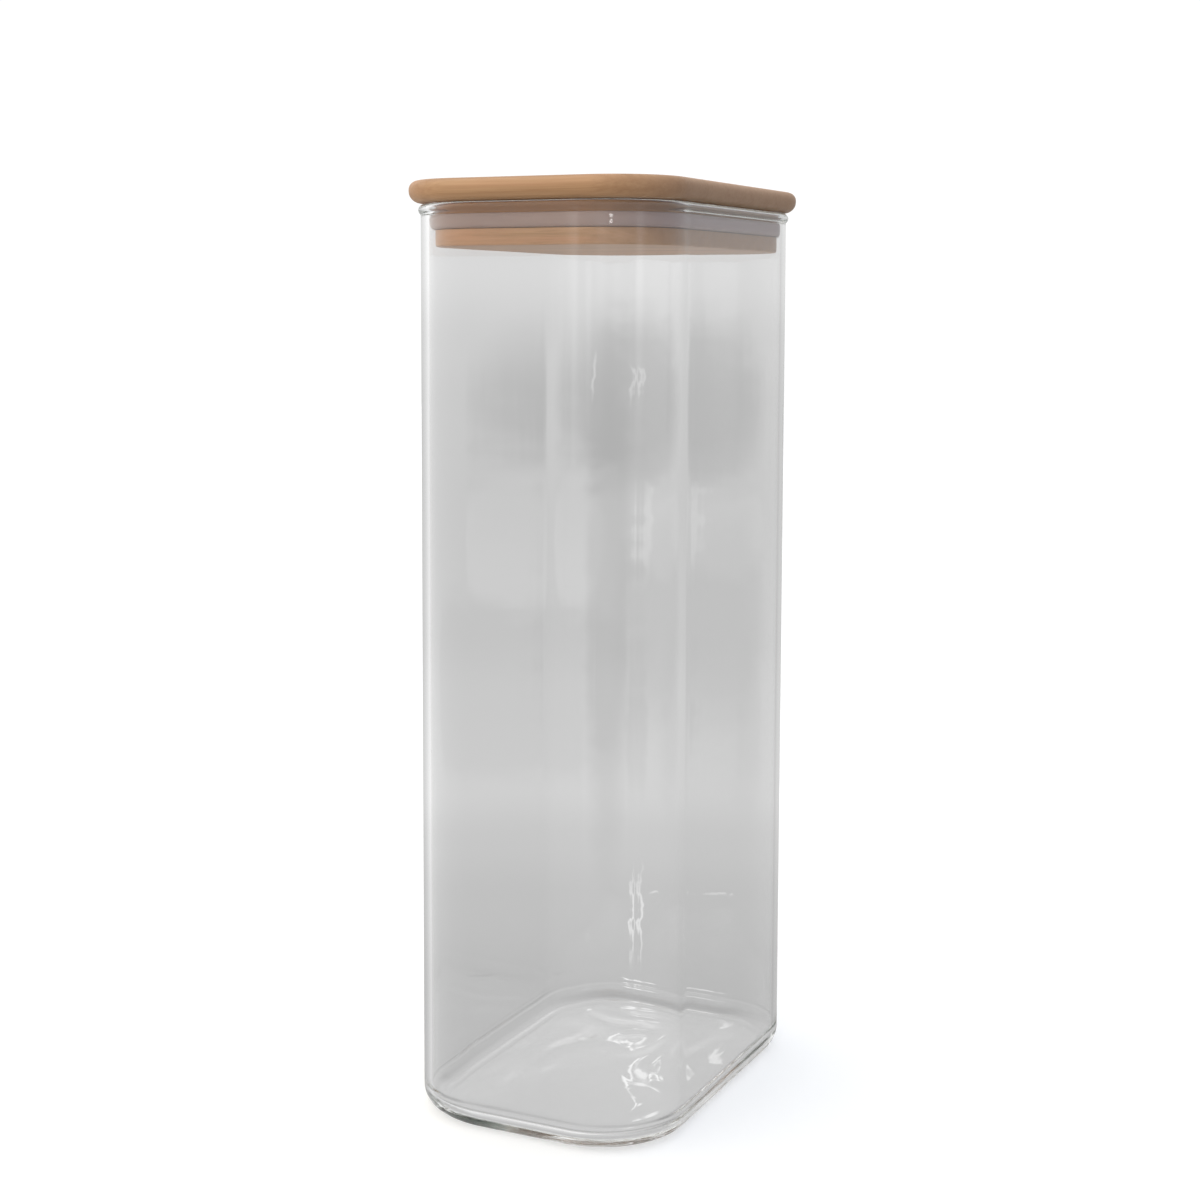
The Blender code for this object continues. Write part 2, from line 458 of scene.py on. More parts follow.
def add_bump(tree, shader, height, strength, distance):
    """Roughen a finish by a noise."""
    bump = add_node(
        tree, "ShaderNodeBump",
        inputs={"Strength": strength, "Distance": distance, "Height": height},
    )
    tree.links.new(bump.outputs[0], shader.inputs["Normal"])


# Glass jar

EDGE_STEPS = 14
FOOT_STEPS = 4
WALL_STEPS = 90
WALL_CROWDING = 1.7
BEAD_STEPS = 14
UNDERSIDE_STEPS = 14
FLOOR_STEPS = 44
MIDDLE_SHARE = 0.02
HEEL_REACH = 0.0010
BEAD_MARGIN = 0.0002
# Waves per metre in the walls. Each wall face has its own seed and its share of the full height.
WAVE_ACROSS = 14
WAVE_UP = 5
FINE_WAVE_SCALE = 2.7
FINE_WAVE_SHARE = 0.3
WAVES = {"outer wall": (2.0, 0.35), "inner wall": (9.0, 1.0)}
WAVE_FADE = 0.03
# Ripples per metre in the floor. A second noise bends them.
RIPPLE_ACROSS = 60
RIPPLE_ALONG = 45
RIPPLE_LAYER = 1.3
BEND_LAYER = 3.7
BEND_SCALE = 0.5
BEND_REACH = 2
RIPPLE_FADE_RINGS = 6
GLASS_BUMPS = (90, 90, 28)
GLASS_IOR = 1.47
GLASS_DENSITY = 1.4


def glass_outline(glass, inset, corner, height):
    """One ring of the glass, drawn in from the outside of the walls."""
    return glass.width / 2 - inset, glass.depth / 2 - inset, corner, height


def base_edge(glass, inset, bottom, top):
    """Rings of the rounded edge between a floor face and a wall face, from the foot upwards."""
    rings = []
    for step in range(EDGE_STEPS + 1):
        angle = QUARTER * step / EDGE_STEPS
        drawn_in = inset + glass.edge_inset * (1 - math.sin(angle))
        corner = mix(glass.foot_corner, glass.corner, math.sin(angle)) - inset
        rings.append(glass_outline(glass, drawn_in, corner, mix(bottom, top, 1 - math.cos(angle))))
    return rings


def floor_rings(glass, height, steps):
    """Rings of the floor's gentle rise, from the foot ring's inner edge to the middle."""
    inset = glass.edge_inset + glass.foot_width
    half_width, half_depth, corner, _ = glass_outline(
        glass, inset, glass.foot_corner - glass.foot_width, height
    )
    rings = []
    for step in range(steps):
        share = mix(1, MIDDLE_SHARE, step / (steps - 1))
        rise = glass.push_up * (1 - share ** 2) ** 2
        rings.append((half_width * share, half_depth * share, corner * share, height + rise))
    return rings


def foot_rings(glass, inset, height):
    """Rings across the flat ring between the base edge and the floor's rise."""
    rings = []
    for step in range(1, FOOT_STEPS):
        drawn_in = mix(inset, glass.foot_width, step / FOOT_STEPS)
        corner = glass.foot_corner - drawn_in
        rings.append(glass_outline(glass, glass.edge_inset + drawn_in, corner, height))
    return rings


def wall_rings(glass, inset, bottom, top):
    """Rings up a wall face, close together at the bottom. The last one is just under the bead."""
    rings = []
    for step in range(1, WALL_STEPS + 1):
        share = (step / WALL_STEPS) ** WALL_CROWDING
        height = mix(bottom, top - BEAD_MARGIN, share)
        rings.append(glass_outline(glass, inset, glass.corner - inset, height))
    return rings


def rim_rings(glass):
    """Rings over the bead: up its outer side, over the top and down to the inner face."""
    half_wall = glass.wall / 2
    outer_reach = half_wall + BEAD_PROUD
    middle = glass.height - glass.bead_height / 2
    start = -math.acos(half_wall / outer_reach)
    rings = []
    for step in range(BEAD_STEPS + 1):
        angle = mix(start, 2 * QUARTER, step / BEAD_STEPS)
        reach = outer_reach if math.cos(angle) > 0 else half_wall
        inset = half_wall - reach * math.cos(angle)
        height = middle + glass.bead_height / 2 * math.sin(angle)
        rings.append(glass_outline(glass, inset, glass.corner - inset, height))
    return rings


def wall_wave(point, seed):
    """How far blown glass strays from flat at a point, from -1 to 1."""
    where = Vector((point.x * WAVE_ACROSS + seed, point.y * WAVE_ACROSS, point.z * WAVE_UP))
    broad = noise.noise(where)
    fine = noise.noise(where * FINE_WAVE_SCALE + Vector((seed, 0, 0)))
    return broad + FINE_WAVE_SHARE * fine


def floor_ripple(point):
    """Height of the ripples in the floor at a point, from -1 to 1."""
    where = Vector((point.x * RIPPLE_ACROSS, point.y * RIPPLE_ALONG, BEND_LAYER))
    bend = BEND_REACH * noise.noise(where * BEND_SCALE)
    return noise.noise(Vector((where.x + bend, where.y + bend, RIPPLE_LAYER)))


def make_glass(glass):
    """The glass: underside, base edge, outer wall, rim bead, inner wall and inner floor."""
    wall_top = glass.height - glass.bead_height
    edge_top = glass.floor + glass.floor_edge_height
    rows = {
        "underside": floor_rings(glass, 0, UNDERSIDE_STEPS)[::-1],
        "foot": foot_rings(glass, 0, 0)[::-1],
        "outer edge": base_edge(glass, 0, 0, glass.edge_height),
        "outer wall": wall_rings(glass, 0, glass.edge_height, wall_top),
        "rim": rim_rings(glass),
        "inner wall": wall_rings(glass, glass.wall, edge_top, wall_top)[::-1],
        "inner edge": base_edge(glass, glass.wall, glass.floor, edge_top)[::-1],
        "inner foot": foot_rings(glass, glass.wall, glass.floor),
        "floor": floor_rings(glass, glass.floor, FLOOR_STEPS),
    }
    bm, loops, ways = loft(
        [ring for row in rows.values() for ring in row], CORNER_STEPS, WIDTH_STEPS, DEPTH_STEPS
    )
    parts = {}
    start = 0
    for name, row in rows.items():
        parts[name] = loops[start:start + len(row)]
        start += len(row)
    for name, (seed, share) in WAVES.items():
        for loop in parts[name]:
            height = loop[0].co.z
            fade = min(1, (height - edge_top) / WAVE_FADE, (wall_top - height) / WAVE_FADE)
            for vert, (_, way) in zip(loop, ways):
                shift = glass.wave * share * max(0, fade) * wall_wave(vert.co, seed)
                vert.co -= Vector((way.x, way.y, 0)) * shift
    for loop in parts["inner wall"] + parts["inner edge"]:
        swell = glass.heel * math.exp(-((loop[0].co.z - edge_top) / HEEL_REACH) ** 2)
        for vert, (_, way) in zip(loop, ways):
            vert.co -= Vector((way.x, way.y, 0)) * swell
    for index, loop in enumerate(parts["floor"]):
        fade = min(1, index / RIPPLE_FADE_RINGS)
        for vert in loop:
            vert.co.z += glass.ripple * fade * floor_ripple(vert.co)
    bmesh.ops.recalc_face_normals(bm, faces=bm.faces[:])
    return bm


def glass_material(glass):
    """Clear blown glass with faint ripples and a green tinge where it is deep."""
    material, tree, shader, output = new_material("clear_blown_glass")
    shader.inputs["Base Color"].default_value = glass.colour
    shader.inputs["Roughness"].default_value = 0.0
    shader.inputs["IOR"].default_value = GLASS_IOR
    shader.inputs["Transmission Weight"].default_value = 1.0
    place_socket = add_node(tree, "ShaderNodeTexCoord").outputs["Object"]
    bumps = stretched_noise(tree, place_socket, GLASS_BUMPS, Detail=1.0)
    add_bump(tree, shader, bumps, strength=0.05, distance=0.0004)
    deep = add_node(
        tree, "ShaderNodeVolumeAbsorption",
        inputs={"Color": glass.depth_colour, "Density": GLASS_DENSITY},
    )
    tree.links.new(deep.outputs[0], output.inputs["Volume"])
    return material


class PANTRYJAR_OT_glass(bpy.types.Operator):
    """Build the blown glass jar"""

    bl_idname = "pantryjar.glass"
    bl_label = "Glass jar"

    def execute(self, context):
        glass = context.scene.pantryjar_glass
        jar = add_piece(
            "jar_glass", make_glass(glass), glass_material(glass), "jar", "glass", "glass_jar"
        )
        jar.visible_shadow = False
        return {"FINISHED"}


# Bamboo boards

ROUND_STEPS = 10
BOARD_CORNER_STEPS = 24
TOP_ROUND_SHARE = 0.40
BOTTOM_ROUND_SHARE = 0.54
SHARP = math.radians(40)
STAVE_SEED = 1.7
STAVE_TONES = (0.02, -0.06, 0.05, -0.03, 0.03, -0.08, 0.04)
# Painted shade: the plug's staves are drawn darker from the groove's middle up through the neck,
# where the cap shades them.
NECK_PAINTED_SHADE = 0.9
# Noise per metre along the grain, across it and through the board
BANDS = (7, 190, 320)
FIBRES = (16, 900, 1100)
BLUSH = (12, 70, 150)
FLECKS = (70, 1900, 2200)
# Noise values at which each mark starts and is full, and how strongly it shows
GRAIN_RANGE = (0.34, 0.66)
BLUSH_RANGE = (0.50, 0.72)
FLECK_RANGE = (0.60, 0.70)
BAND_SHARE = 0.46
FIBRE_SHARE = 0.38
BLUSH_SHARE = 0.55
FLECK_SHARE = 0.40
END_GRAIN_TONE = 0.88
END_GRAIN_SHARE = 0.7
CAP_ROUGHNESS = 0.46
PLUG_ROUGHNESS = 0.42
ROUGHNESS_SPREAD = 0.18


def make_cap_board(glass, lid):
    """The cap with its round edge."""
    bottom = glass.height + lid.rest_gap
    top = bottom + lid.cap_thickness
    bottom_round = lid.cap_thickness * BOTTOM_ROUND_SHARE
    top_round = lid.cap_thickness * TOP_ROUND_SHARE
    rings = []
    for step in range(ROUND_STEPS + 1):
        angle = QUARTER * step / ROUND_STEPS
        drawn_in = bottom_round * (1 - math.sin(angle))
        height = bottom + bottom_round * (1 - math.cos(angle))
        rings.append(cap_outline(glass, lid, drawn_in, height))
    for step in range(ROUND_STEPS + 1):
        angle = QUARTER * step / ROUND_STEPS
        drawn_in = top_round * (1 - math.cos(angle))
        height = top - top_round * (1 - math.sin(angle))
        rings.append(cap_outline(glass, lid, drawn_in, height))
    return loft(rings, BOARD_CORNER_STEPS)[0]


def cap_outline(glass, lid, drawn_in, height):
    """One ring of the cap, drawn in from its own side."""
    return glass_outline(glass, drawn_in - lid.overhang, lid.cap_corner - drawn_in, height)


def plug_outline(glass, lid, drawn_in, height):
    """One ring of the plug, drawn in from its own side."""
    inset = glass.wall + lid.clearance + drawn_in
    return glass_outline(glass, inset, lid.plug_corner - drawn_in, height)


def plug_heights(glass, lid):
    """Heights of the plug: its top, the groove's two sides and its bottom."""
    groove_top = glass.height + lid.rest_gap - lid.neck
    groove_bottom = groove_top - lid.groove_height
    return glass.height, groove_top, groove_bottom, groove_bottom - lid.flange


def make_plug_board(glass, lid):
    """The plug: flange with an eased lower edge, groove for the seal, and neck."""
    top, groove_top, groove_bottom, bottom = plug_heights(glass, lid)
    rings = []
    for step in range(ROUND_STEPS + 1):
        angle = QUARTER * step / ROUND_STEPS
        drawn_in = lid.flange_round * (1 - math.sin(angle))
        rise = lid.flange_round * (1 - math.cos(angle))
        rings.append(plug_outline(glass, lid, drawn_in, bottom + rise))
    rings.append(plug_outline(glass, lid, 0, groove_bottom))
    rings.append(plug_outline(glass, lid, lid.groove_depth, groove_bottom))
    rings.append(plug_outline(glass, lid, lid.groove_depth, groove_top))
    rings.append(plug_outline(glass, lid, 0, groove_top))
    rings.append(plug_outline(glass, lid, 0, top))
    return loft(rings, BOARD_CORNER_STEPS)[0]


def trim(bm, where, side):
    """Saw a board across at a Y place, drop what lies on the given side and close the cut."""
    geometry = bm.verts[:] + bm.edges[:] + bm.faces[:]
    cut = bmesh.ops.bisect_plane(
        bm, geom=geometry, plane_co=(0, where, 0), plane_no=(0, side, 0), clear_outer=True
    )
    edges = [item for item in cut["geom_cut"] if isinstance(item, bmesh.types.BMEdge)]
    bmesh.ops.contextual_create(bm, geom=edges)
    bmesh.ops.recalc_face_normals(bm, faces=bm.faces[:])


def add_staves(name, cad_name, board, depth, count, hairline, material, slot, painted_shade_from=None):
    """Part a board into staves along X. Each keeps a seed that shifts and tones its grain; above
    the given height its tone also carries painted shade.
    """
    for index in range(count):
        stave = board.copy()
        if index > 0:
            trim(stave, depth * (index / count - 0.5) + hairline / 2, -1)
        if index < count - 1:
            trim(stave, depth * ((index + 1) / count - 0.5) - hairline / 2, 1)
        bmesh.ops.triangulate(stave, faces=[face for face in stave.faces if len(face.verts) > 4])
        seed = stave.verts.layers.float.new("stave_seed")
        tone = stave.verts.layers.float.new("stave_tone_and_painted_shade")
        for vert in stave.verts:
            vert[seed] = index * STAVE_SEED
            vert[tone] = STAVE_TONES[index % len(STAVE_TONES)]
            # Painted shade: above this height, under the cap, the stave is drawn darker.
            if painted_shade_from is not None and vert.co.z > painted_shade_from:
                vert[tone] -= NECK_PAINTED_SHADE
        add_piece(
            f"{name}_{index + 1}", stave, material, "lid", slot, f"{cad_name}_{index + 1}",
            sharp=SHARP,
        )
    board.free()


def stretched_contrast(tree, value, low, high):
    """A noise value drawn out so that low gives 0 and high gives 1."""
    return add_node(
        tree, "ShaderNodeMapRange", inputs={"Value": value, "From Min": low, "From Max": high}
    ).outputs[0]


def bamboo_material(name, lid, roughness, gain):
    """Sanded bamboo: long fibres and ruddy streaks along X, with fine dark flecks."""
    material, tree, shader, _ = new_material(name)
    place_socket = add_node(tree, "ShaderNodeTexCoord").outputs["Object"]
    seed = add_node(tree, "ShaderNodeAttribute", attribute_name="stave_seed").outputs["Fac"]
    # The stave tone carries each stave's own tone, and the painted shade on the plug's neck.
    tone = add_node(tree, "ShaderNodeAttribute", attribute_name="stave_tone_and_painted_shade").outputs["Fac"]
    offset = add_node(tree, "ShaderNodeCombineXYZ", inputs={0: seed, 2: seed}).outputs[0]
    moved = add_node(
        tree, "ShaderNodeVectorMath", operation="ADD", inputs={0: place_socket, 1: offset}
    ).outputs[0]
    bands = stretched_noise(tree, moved, BANDS, Detail=3.0, Roughness=0.6)
    fibres = stretched_noise(tree, moved, FIBRES, Detail=4.0, Roughness=0.65)
    blush = stretched_noise(tree, moved, BLUSH, Detail=2.0)
    flecks = stretched_noise(tree, moved, FLECKS, Detail=2.0)
    bands = stretched_contrast(tree, bands, *GRAIN_RANGE)
    fine = stretched_contrast(tree, fibres, *GRAIN_RANGE)
    blend = math_node(tree, "MULTIPLY", bands, BAND_SHARE)
    blend = math_node(tree, "MULTIPLY_ADD", fine, FIBRE_SHARE, blend)
    blend = math_node(tree, "SUBTRACT", blend, tone, clamp=True)
    normal = add_node(tree, "ShaderNodeNewGeometry").outputs["Normal"]
    end_grain = math_node(tree, "ABSOLUTE", dot(tree, normal, (1, 0, 0)))
    along = math_node(tree, "SUBTRACT", 1.0, end_grain)
    end_share = math_node(tree, "MULTIPLY", end_grain, END_GRAIN_SHARE)
    blend = add_node(
        tree, "ShaderNodeMix", inputs={0: end_share, 2: blend, 3: END_GRAIN_TONE}
    ).outputs[0]
    # A gain above 1 makes the plug's paler copy: painted light for the light it lacks under the
    # cap.
    light, dark, ruddy = (scaled(colour, gain) for colour in (lid.light, lid.dark, lid.ruddy))
    colour = mixed_colour(tree, blend, light, dark)
    blush = math_node(tree, "MULTIPLY", stretched_contrast(tree, blush, *BLUSH_RANGE), along)
    colour = mixed_colour(tree, math_node(tree, "MULTIPLY", blush, BLUSH_SHARE), colour, ruddy)
    flecks = ramp(tree, flecks, *zip(FLECK_RANGE, (0.0, 1.0)))
    flecks = math_node(tree, "MULTIPLY", flecks, along)
    colour = mixed_colour(tree, math_node(tree, "MULTIPLY", flecks, FLECK_SHARE), colour, dark)
    tree.links.new(colour, shader.inputs["Base Color"])
    gloss = math_node(
        tree, "MULTIPLY_ADD", fibres, ROUGHNESS_SPREAD, roughness - ROUGHNESS_SPREAD / 2
    )
    tree.links.new(gloss, shader.inputs["Roughness"])
    shader.inputs["Specular IOR Level"].default_value = 0.5
    add_bump(tree, shader, fibres, strength=0.30, distance=0.0002)
    return material


class PANTRYJAR_OT_cap(bpy.types.Operator):
    """Build the staves of the bamboo cap"""

    bl_idname = "pantryjar.cap"
    bl_label = "Cap staves"

    def execute(self, context):
        glass = context.scene.pantryjar_glass
        lid = context.scene.pantryjar_lid
        depth = glass.depth + 2 * lid.overhang
        add_staves(
            "bamboo_cap", "cap_stave", make_cap_board(glass, lid), depth, lid.cap_staves,
            lid.hairline, bamboo_material("oiled_bamboo_cap", lid, CAP_ROUGHNESS, 1.0),
            "cap_bamboo",
        )
        return {"FINISHED"}


class PANTRYJAR_OT_plug(bpy.types.Operator):
    """Build the staves of the bamboo plug"""

    bl_idname = "pantryjar.plug"
    bl_label = "Plug staves"

    def execute(self, context):
        glass = context.scene.pantryjar_glass
        lid = context.scene.pantryjar_lid
        depth = glass.depth - 2 * (glass.wall + lid.clearance)
        add_staves(
            "bamboo_plug", "plug_stave", make_plug_board(glass, lid), depth, lid.plug_staves,
            lid.hairline,
            bamboo_material("sanded_bamboo_plug", lid, PLUG_ROUGHNESS, lid.plug_painted_light),
            # Painted shade on the plug starts at the groove's middle.
            "plug_bamboo", plug_heights(glass, lid)[2] + lid.groove_height / 2,
        )
        return {"FINISHED"}


# Silicone seal

LIP_STEPS = 24
LIP_FULLNESS = 0.7
CLOUDS = (60, 60, 160)
CLOUD_GAIN = 1.12
MATT_GRAIN = (2500, 2500, 2500)
SILICONE_IOR = 1.41


def make_seal(glass, lid, seal):
    """The seal: a band that fills the groove, with a rounded lip that reaches for the glass."""
    _, groove_top, groove_bottom, _ = plug_heights(glass, lid)
    bottom = groove_bottom + lid.rest_gap / 2
    top = groove_top - lid.rest_gap / 2
    widest = mix(bottom, top, seal.widest)
    root = lid.groove_depth - lid.rest_gap
    lip_inset = glass.wall + lid.rest_gap
    plug_inset = glass.wall + lid.clearance
    rings = [plug_outline(glass, lid, root, bottom)]
    for step in range(LIP_STEPS + 1):
        angle = mix(-QUARTER, QUARTER, step / LIP_STEPS)
        side = bottom if angle < 0 else top
        reach = abs(math.cos(angle)) ** LIP_FULLNESS
        height = mix(widest, side, abs(math.sin(angle)))
        inset = mix(plug_inset, lip_inset, reach)
        corner = mix(lid.plug_corner, glass.corner - lip_inset, reach)
        rings.append(glass_outline(glass, inset, corner, height))
    rings.append(plug_outline(glass, lid, root, top))
    rings.append(rings[0])
    return loft(rings, BOARD_CORNER_STEPS, closed=False)[0]


def silicone_material(seal):
    """Frosted silicone, a little translucent, with a fine matt grain."""
    material, tree, shader, _ = new_material("frosted_silicone")
    place_socket = add_node(tree, "ShaderNodeTexCoord").outputs["Object"]
    cloud = stretched_noise(tree, place_socket, CLOUDS, Detail=2.0)
    colour = mixed_colour(tree, cloud, seal.colour, scaled(seal.colour, CLOUD_GAIN))
    tree.links.new(colour, shader.inputs["Base Color"])
    shader.inputs["Roughness"].default_value = 0.42
    shader.inputs["IOR"].default_value = SILICONE_IOR
    shader.inputs["Subsurface Weight"].default_value = 0.25
    shader.inputs["Subsurface Radius"].default_value = (1.0, 0.8, 0.7)
    shader.inputs["Subsurface Scale"].default_value = 0.002
    grain = stretched_noise(tree, place_socket, MATT_GRAIN, Detail=1.0)
    add_bump(tree, shader, grain, strength=0.15, distance=0.0001)
    return material


class PANTRYJAR_OT_seal(bpy.types.Operator):
    """Build the silicone seal"""

    bl_idname = "pantryjar.seal"
    bl_label = "Silicone seal"

    def execute(self, context):
        scene = context.scene
        bm = make_seal(scene.pantryjar_glass, scene.pantryjar_lid, scene.pantryjar_seal)
        material = silicone_material(scene.pantryjar_seal)
        add_piece(
            "seal_ring", bm, material, "lid", "seal_silicone", "silicone_seal", sharp=SHARP
        )
        return {"FINISHED"}


# Stage: floor, surround, lights and camera

CAMERA_TURN = math.radians(25.36)
CAMERA_DISTANCE = 0.66908
CAMERA_HEIGHT = 0.26110
CAMERA_PITCH = math.radians(5.13)
CAMERA_ROLL = math.radians(0.20)
CAMERA_YAW = math.radians(-0.28)
FOCAL_PIXELS = 2007
PICTURE_PIXELS = 1200
AXIS_PIXELS_DOWN = 486
SENSOR = 36
CAMERA_AHEAD = Vector((-math.sin(CAMERA_TURN), math.cos(CAMERA_TURN), 0))
CAMERA_RIGHT = Vector((math.cos(CAMERA_TURN), math.sin(CAMERA_TURN), 0))
FLOOR_DROP = 0.0003
# Lights: place, aim, width and height, and colour
KEY_LIGHT = ((-0.5, -1.65, 1.1), (0, 0, 0.2), (1.2, 1.0), (1, 0.97, 0.93))
BOUNCE = ((0, 0, 0.05), (0, 0, 0.3), (0.05, 0.09), (1, 1, 1))
SKY_SPREAD = math.radians(120)
SKY_TILT = (math.radians(12), math.radians(-8), 0)
# Light that runs up inside a wall turns back many times before it comes out.
MOST_BOUNCES = 300


def add_floor(stage):
    """A plain pale floor that glass doesn't show, so that the jar keeps the surround's greys."""
    bm = bmesh.new()
    bmesh.ops.create_grid(bm, x_segments=1, y_segments=1, size=stage.floor_size / 2)
    bmesh.ops.translate(bm, vec=(0, 0, -FLOOR_DROP), verts=bm.verts[:])
    mesh = bpy.data.meshes.new("studio_floor")
    bm.to_mesh(mesh)
    bm.free()
    material, tree, shader, _ = new_material("pale_floor")
    shader.inputs["Base Color"].default_value = stage.floor_colour
    shader.inputs["Roughness"].default_value = 0.9
    shader.inputs["Specular IOR Level"].default_value = 0.1
    shader.inputs["Emission Color"].default_value = (1, 1, 1, 1)
    shader.inputs["Emission Strength"].default_value = stage.floor_glow
    mesh.materials.append(material)
    floor = bpy.data.objects.new("studio_floor", mesh)
    bpy.context.scene.collection.objects.link(floor)
    floor.visible_transmission = False
    floor.visible_glossy = False
    floor.visible_diffuse = False


def camera_axes():
    """The camera's right, up and forward ways: turned, then pitched, then rolled."""
    up = Vector((0, 0, 1))
    turned_ahead = math.cos(CAMERA_YAW) * CAMERA_AHEAD + math.sin(CAMERA_YAW) * CAMERA_RIGHT
    turned_right = math.cos(CAMERA_YAW) * CAMERA_RIGHT - math.sin(CAMERA_YAW) * CAMERA_AHEAD
    looking = math.cos(CAMERA_PITCH) * turned_ahead - math.sin(CAMERA_PITCH) * up
    head_up = math.cos(CAMERA_PITCH) * up + math.sin(CAMERA_PITCH) * turned_ahead
    rolled_right = math.cos(CAMERA_ROLL) * turned_right + math.sin(CAMERA_ROLL) * head_up
    rolled_up = math.cos(CAMERA_ROLL) * head_up - math.sin(CAMERA_ROLL) * turned_right
    return rolled_right, rolled_up, looking


def soft_spot(tree, where, spot):
    """A soft-edged oval in the surround, as a factor that is 1 away from it."""
    across, up, half_width, half_height, softness, strength = spot
    offset = add_node(
        tree, "ShaderNodeVectorMath", operation="SUBTRACT", inputs={0: where, 1: (across, up, 0)}
    ).outputs[0]
    shares = add_node(
        tree, "ShaderNodeVectorMath", operation="DIVIDE",
        inputs={0: offset, 1: (half_width, half_height, 1)},
    ).outputs[0]
    far = add_node(
        tree, "ShaderNodeVectorMath", operation="LENGTH", inputs={0: shares}
    ).outputs["Value"]
    return add_node(
        tree, "ShaderNodeMapRange", interpolation_type="SMOOTHSTEP",
        inputs={
            "Value": far, "From Min": 1 - softness, "From Max": 1 + softness,
            "To Min": strength, "To Max": 1.0,
        },
    ).outputs[0]


# Soft shapes of the room behind the jar. Each row gives the slopes of the sight line, sideways and
# upwards, the half width and half height, the softness of the edge, and the strength.
SPOTS_BEHIND = (
    (0.024, -0.0470, 0.084, 0.040, 0.42, 0.79),
    (-0.002, -0.1400, 0.030, 0.125, 0.45, 0.87),
    (-0.050, -0.0690, 0.024, 0.045, 0.50, 0.96),
    (-0.044, -0.1190, 0.037, 0.034, 0.22, 1.06),
    (0.075, -0.1130, 0.045, 0.022, 0.35, 1.07),
    (0.038, -0.1110, 0.0060, 0.022, 0.40, 1.10),
    (0.070, -0.1550, 0.055, 0.050, 0.45, 0.91),
    (-0.100, -0.1935, 0.150, 0.0465, 0.20, 0.94),
    (0.034, -0.2150, 0.007, 0.028, 0.45, 0.93),
    (0.092, -0.2120, 0.034, 0.036, 0.60, 0.94),
    (-0.0250, -0.0360, 0.0020, 0.008, 0.60, 1.30),
    (0.0300, -0.0370, 0.0020, 0.008, 0.60, 1.25),
    (0.0345, -0.3110, 0.0016, 0.020, 0.60, 1.45),
    (0.0529, -0.2980, 0.007, 0.001, 0.60, 1.30),
    (-0.0700, -0.3380, 0.012, 0.0008, 0.60, 0.90),
    (0.0230, -0.3900, 0.003, 0.028, 0.60, 1.90),
    (0.0400, -0.3950, 0.010, 0.014, 0.60, 1.70),
    (0.0260, -0.4180, 0.010, 0.005, 0.60, 1.50),
)
# Windows that the corners reflect, and last a broad pale wall behind the camera in two halves. Each
# row gives the turn, as a share of the full circle from straight behind the camera, and the rise,
# then the same four values.
WINDOWS = (
    (0.130, 0.12, 0.012, 0.17, 0.50, 2.0),
    (0.030, 0.12, 0.018, 0.17, 0.60, 1.3),
    (0.885, 0.12, 0.016, 0.17, 0.50, 1.8),
    (0.090, -0.19, 0.0015, 0.08, 0.50, 2.0),
    (0.923, -0.175, 0.0015, 0.035, 0.50, 2.2),
    (0.885, -0.20, 0.0015, 0.09, 0.50, 1.5),
    (0.996, 0.0435, 0.007, 0.0009, 0.60, 14.0),
    (0.000, 0.140, 0.120, 0.150, 0.30, 1.15),
    (1.000, 0.140, 0.090, 0.150, 0.30, 1.15),
)
# How far the soft shapes stray, as a slope, and the noise that they stray by
SIGHT_STRAY = 0.022
STRAY_SCALE = (25, 90, 1)
# The least depth that a sight line is divided by
LEAST_DEPTH = 0.001
# How much the tone drifts all round, and how much more light falls from above than from the side
DRIFT = 0.06
DRIFT_SCALE = (3, 3, 6)
LIFT = 0.35
# Strength of the white that the camera sees behind the jar
BACKDROP = 1.05
# Greys of the surround by rise
GREYS = (
    (-1.00, 0.64), (-0.70, 0.50), (-0.43, 0.50), (-0.332, 0.515), (-0.288, 0.558),
    (-0.262, 0.60), (-0.236, 0.660), (-0.195, 0.645), (-0.16, 0.608), (-0.096, 0.602),
    (-0.047, 0.610), (-0.02, 0.64), (0.02, 0.725), (0.06, 0.77), (0.40, 0.98),
)
# A darker ring low in the surround, by rise. It draws the dark lines along the glass's edges. Light
# that only goes straight through two walls crosses the glass four times, and doesn't show it.
LOW_SHADE = (
    (-1.00, 1.00), (-0.70, 1.00), (-0.60, 0.44), (-0.53, 0.76), (-0.43, 1.00), (0.40, 1.00),
)
STRAIGHT_CROSSINGS = 4
# Tone of the surround by turn
ROUND_TONES = (
    (0.00, 1.05), (0.10, 1.00), (0.16, 0.95), (0.22, 1.15), (0.30, 1.50), (0.38, 1.42),
    (0.41, 1.13), (0.445, 1.00), (0.47, 1.00), (0.50, 1.00), (0.55, 1.05), (0.60, 0.92),
    (0.641, 0.80), (0.72, 0.90), (0.80, 1.00), (1.00, 1.05),
)


